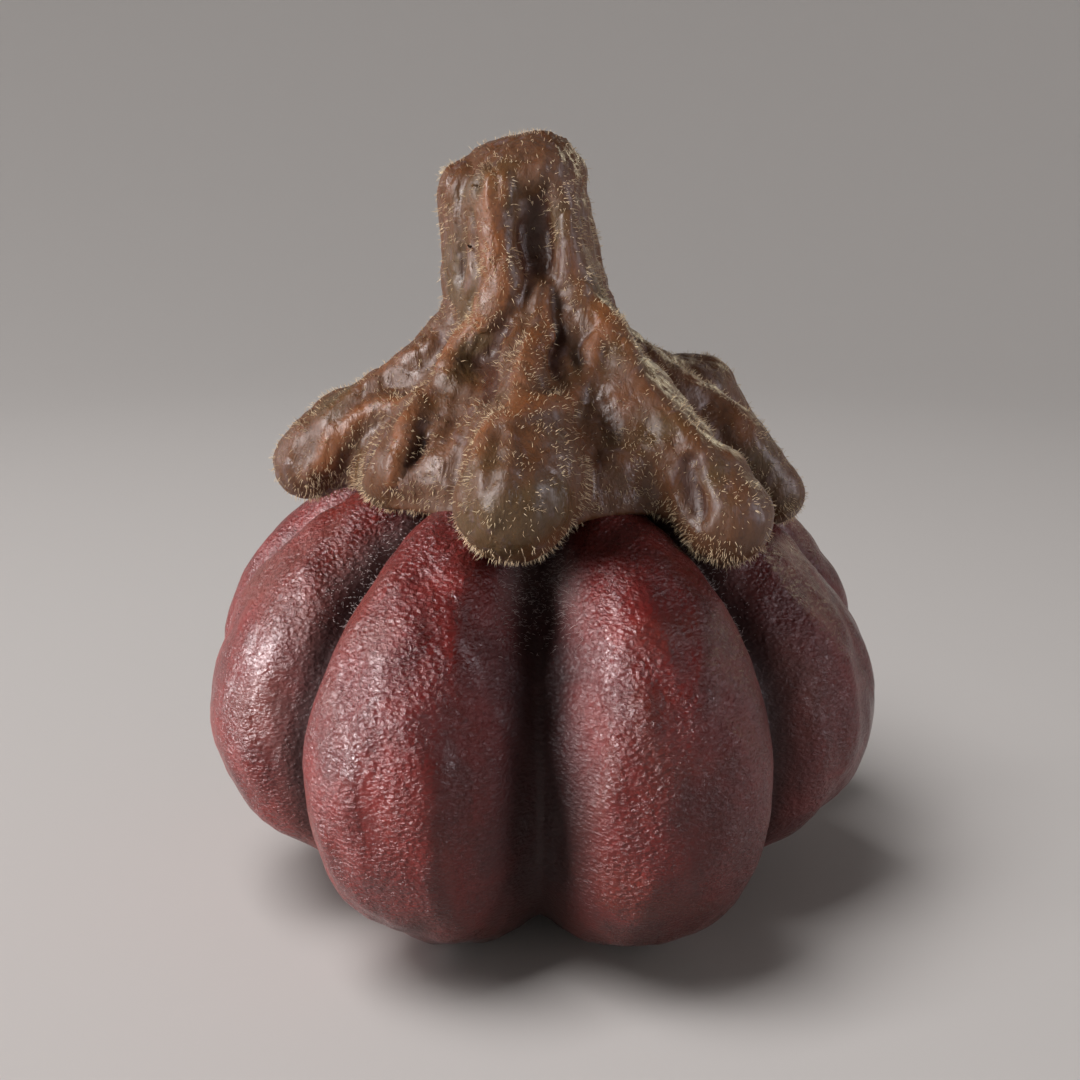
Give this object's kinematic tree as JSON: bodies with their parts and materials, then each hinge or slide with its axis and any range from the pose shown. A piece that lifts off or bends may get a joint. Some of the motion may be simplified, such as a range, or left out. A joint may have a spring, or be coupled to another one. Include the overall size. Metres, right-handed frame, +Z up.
{
  "type": "pumpkin",
  "caption": "Small dark red ribbed pumpkin, standing upright, with a thick fuzzy brown stem whose arms spread over its shoulders.",
  "frame": {"origin": "middle of the bounding box, on the floor that the pumpkin stands on", "axes": "+Z up along the stem, -Y towards the front groove, +X to the right"},
  "size_m": [0.147, 0.1488, 0.1577],
  "materials": {
    "fruit_skin": "dark maroon rind, waxy and finely wrinkled; leather stands in for plant skin",
    "stem_skin": "brown-grey, moist, with short pale hairs; wood stands in for a fleshy stem"
  },
  "bodies": {
    "root": {"fruit": "fruit_skin", "stem": "stem_skin"}
  },
  "joints": []
}
